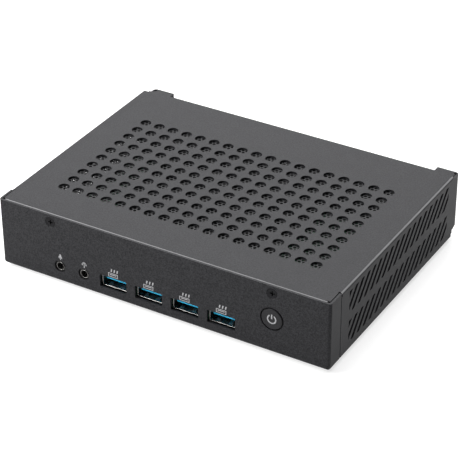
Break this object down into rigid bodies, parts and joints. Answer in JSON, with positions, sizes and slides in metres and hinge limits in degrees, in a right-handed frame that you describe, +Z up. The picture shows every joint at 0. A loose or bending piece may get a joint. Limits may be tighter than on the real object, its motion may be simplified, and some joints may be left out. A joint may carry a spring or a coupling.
{
  "type": "mini pc",
  "caption": "Flat black steel mini computer with a vented top, slanted side vents, front ports and a round power button.",
  "frame": {"origin": "under the middle of the object, on the surface it stands on", "axes": "+X to the right seen from the front, +Y from the front panel to the back, +Z up"},
  "size_m": [0.1654, 0.1266, 0.0349],
  "materials": {
    "case_paint": "fine textured satin black powder coat",
    "mesh_paint": "satin black painted perforated sheet",
    "black_screw": "black oxide steel",
    "steel": "bright plated steel",
    "brass": "turned brass",
    "foot_rubber": "matt rubber",
    "board_green": "solder mask over glass fibre",
    "chip_black": "moulded epoxy",
    "pad_grey": "soft silicone",
    "fin_aluminium": "extruded aluminium",
    "fan_plastic": "moulded glass-filled plastic",
    "copper": "enamelled copper winding",
    "port_black": "moulded port plastic",
    "port_blue": "bright blue moulded plastic",
    "gold_contact": "gold flashed contact",
    "button_plastic": "satin moulded plastic",
    "symbol_white": "translucent inlay"
  },
  "bodies": {
    "case": {"base_chassis": "case_paint", "top_cover": "case_paint", "rear_panel": "case_paint", "vent_mesh": "mesh_paint", "rear_screws": "black_screw", "cover_screws": "black_screw", "rubber_feet": "foot_rubber", "mounting_inserts": "brass", "board_standoffs": "brass", "board_screws": "steel", "main_board": "board_green", "processor": "chip_black", "thermal_pad": "pad_grey", "heat_sink": "fin_aluminium", "heat_sink_screws": "steel", "fan_frame": "fan_plastic", "fan_bearing": "brass", "fan_stator": "copper", "fan_screws": "steel", "storage_socket": "port_black", "storage_drive": "board_green", "storage_screw": "steel", "coin_cell_holder": "port_black", "coin_cell": "steel", "inductors": "chip_black", "capacitors": "fin_aluminium", "board_chips": "chip_black", "usb_contacts": "gold_contact", "jack_sleeves": "steel", "button_guide": "port_black", "button_spring": "steel", "button_board": "board_green", "button_board_screws": "steel", "push_switch": "steel", "board_header": "port_black", "power_inlet": "port_black", "power_inlet_pin": "steel", "display_ports": "steel", "rear_usb_ports": "steel", "network_ports": "steel", "rear_port_inserts": "port_black", "memory_socket_1": "port_black", "memory_socket_2": "port_black", "memory_module_1": "board_green", "memory_module_2": "board_green", "audio_jack_1": "port_black", "audio_jack_2": "port_black", "front_usb_shell_1": "steel", "front_usb_tongue_1": "port_blue", "front_usb_shell_2": "steel", "front_usb_tongue_2": "port_blue", "front_usb_shell_3": "steel", "front_usb_tongue_3": "port_blue", "front_usb_shell_4": "steel", "front_usb_tongue_4": "port_blue"},
    "button": {"power_button": "button_plastic", "button_symbol": "symbol_white"},
    "plunger": {"switch_plunger": "port_black"},
    "rotor": {"fan_rotor": "fan_plastic", "fan_shaft": "steel"}
  },
  "joints": [
    {"name": "power_button_press", "type": "slide", "parent": "case", "child": "button", "axis": [0, 1, 0], "range_m": [0, 0.0005], "stiffness_N_per_m": 900, "springref_m": -0.0008, "deforming": ["button_spring"]},
    {"name": "switch_plunger_press", "type": "slide", "parent": "case", "child": "plunger", "axis": [0, 1, 0], "range_m": [0, 0.0005]},
    {"name": "fan_spin", "type": "hinge", "parent": "case", "child": "rotor", "pos_m": [-0.011, -0.0022, 0.0256], "axis": [0, 0, 1], "continuous": true}
  ],
  "couplings": [
    {"joint": "switch_plunger_press", "follows": "power_button_press", "ratio": 1}
  ]
}
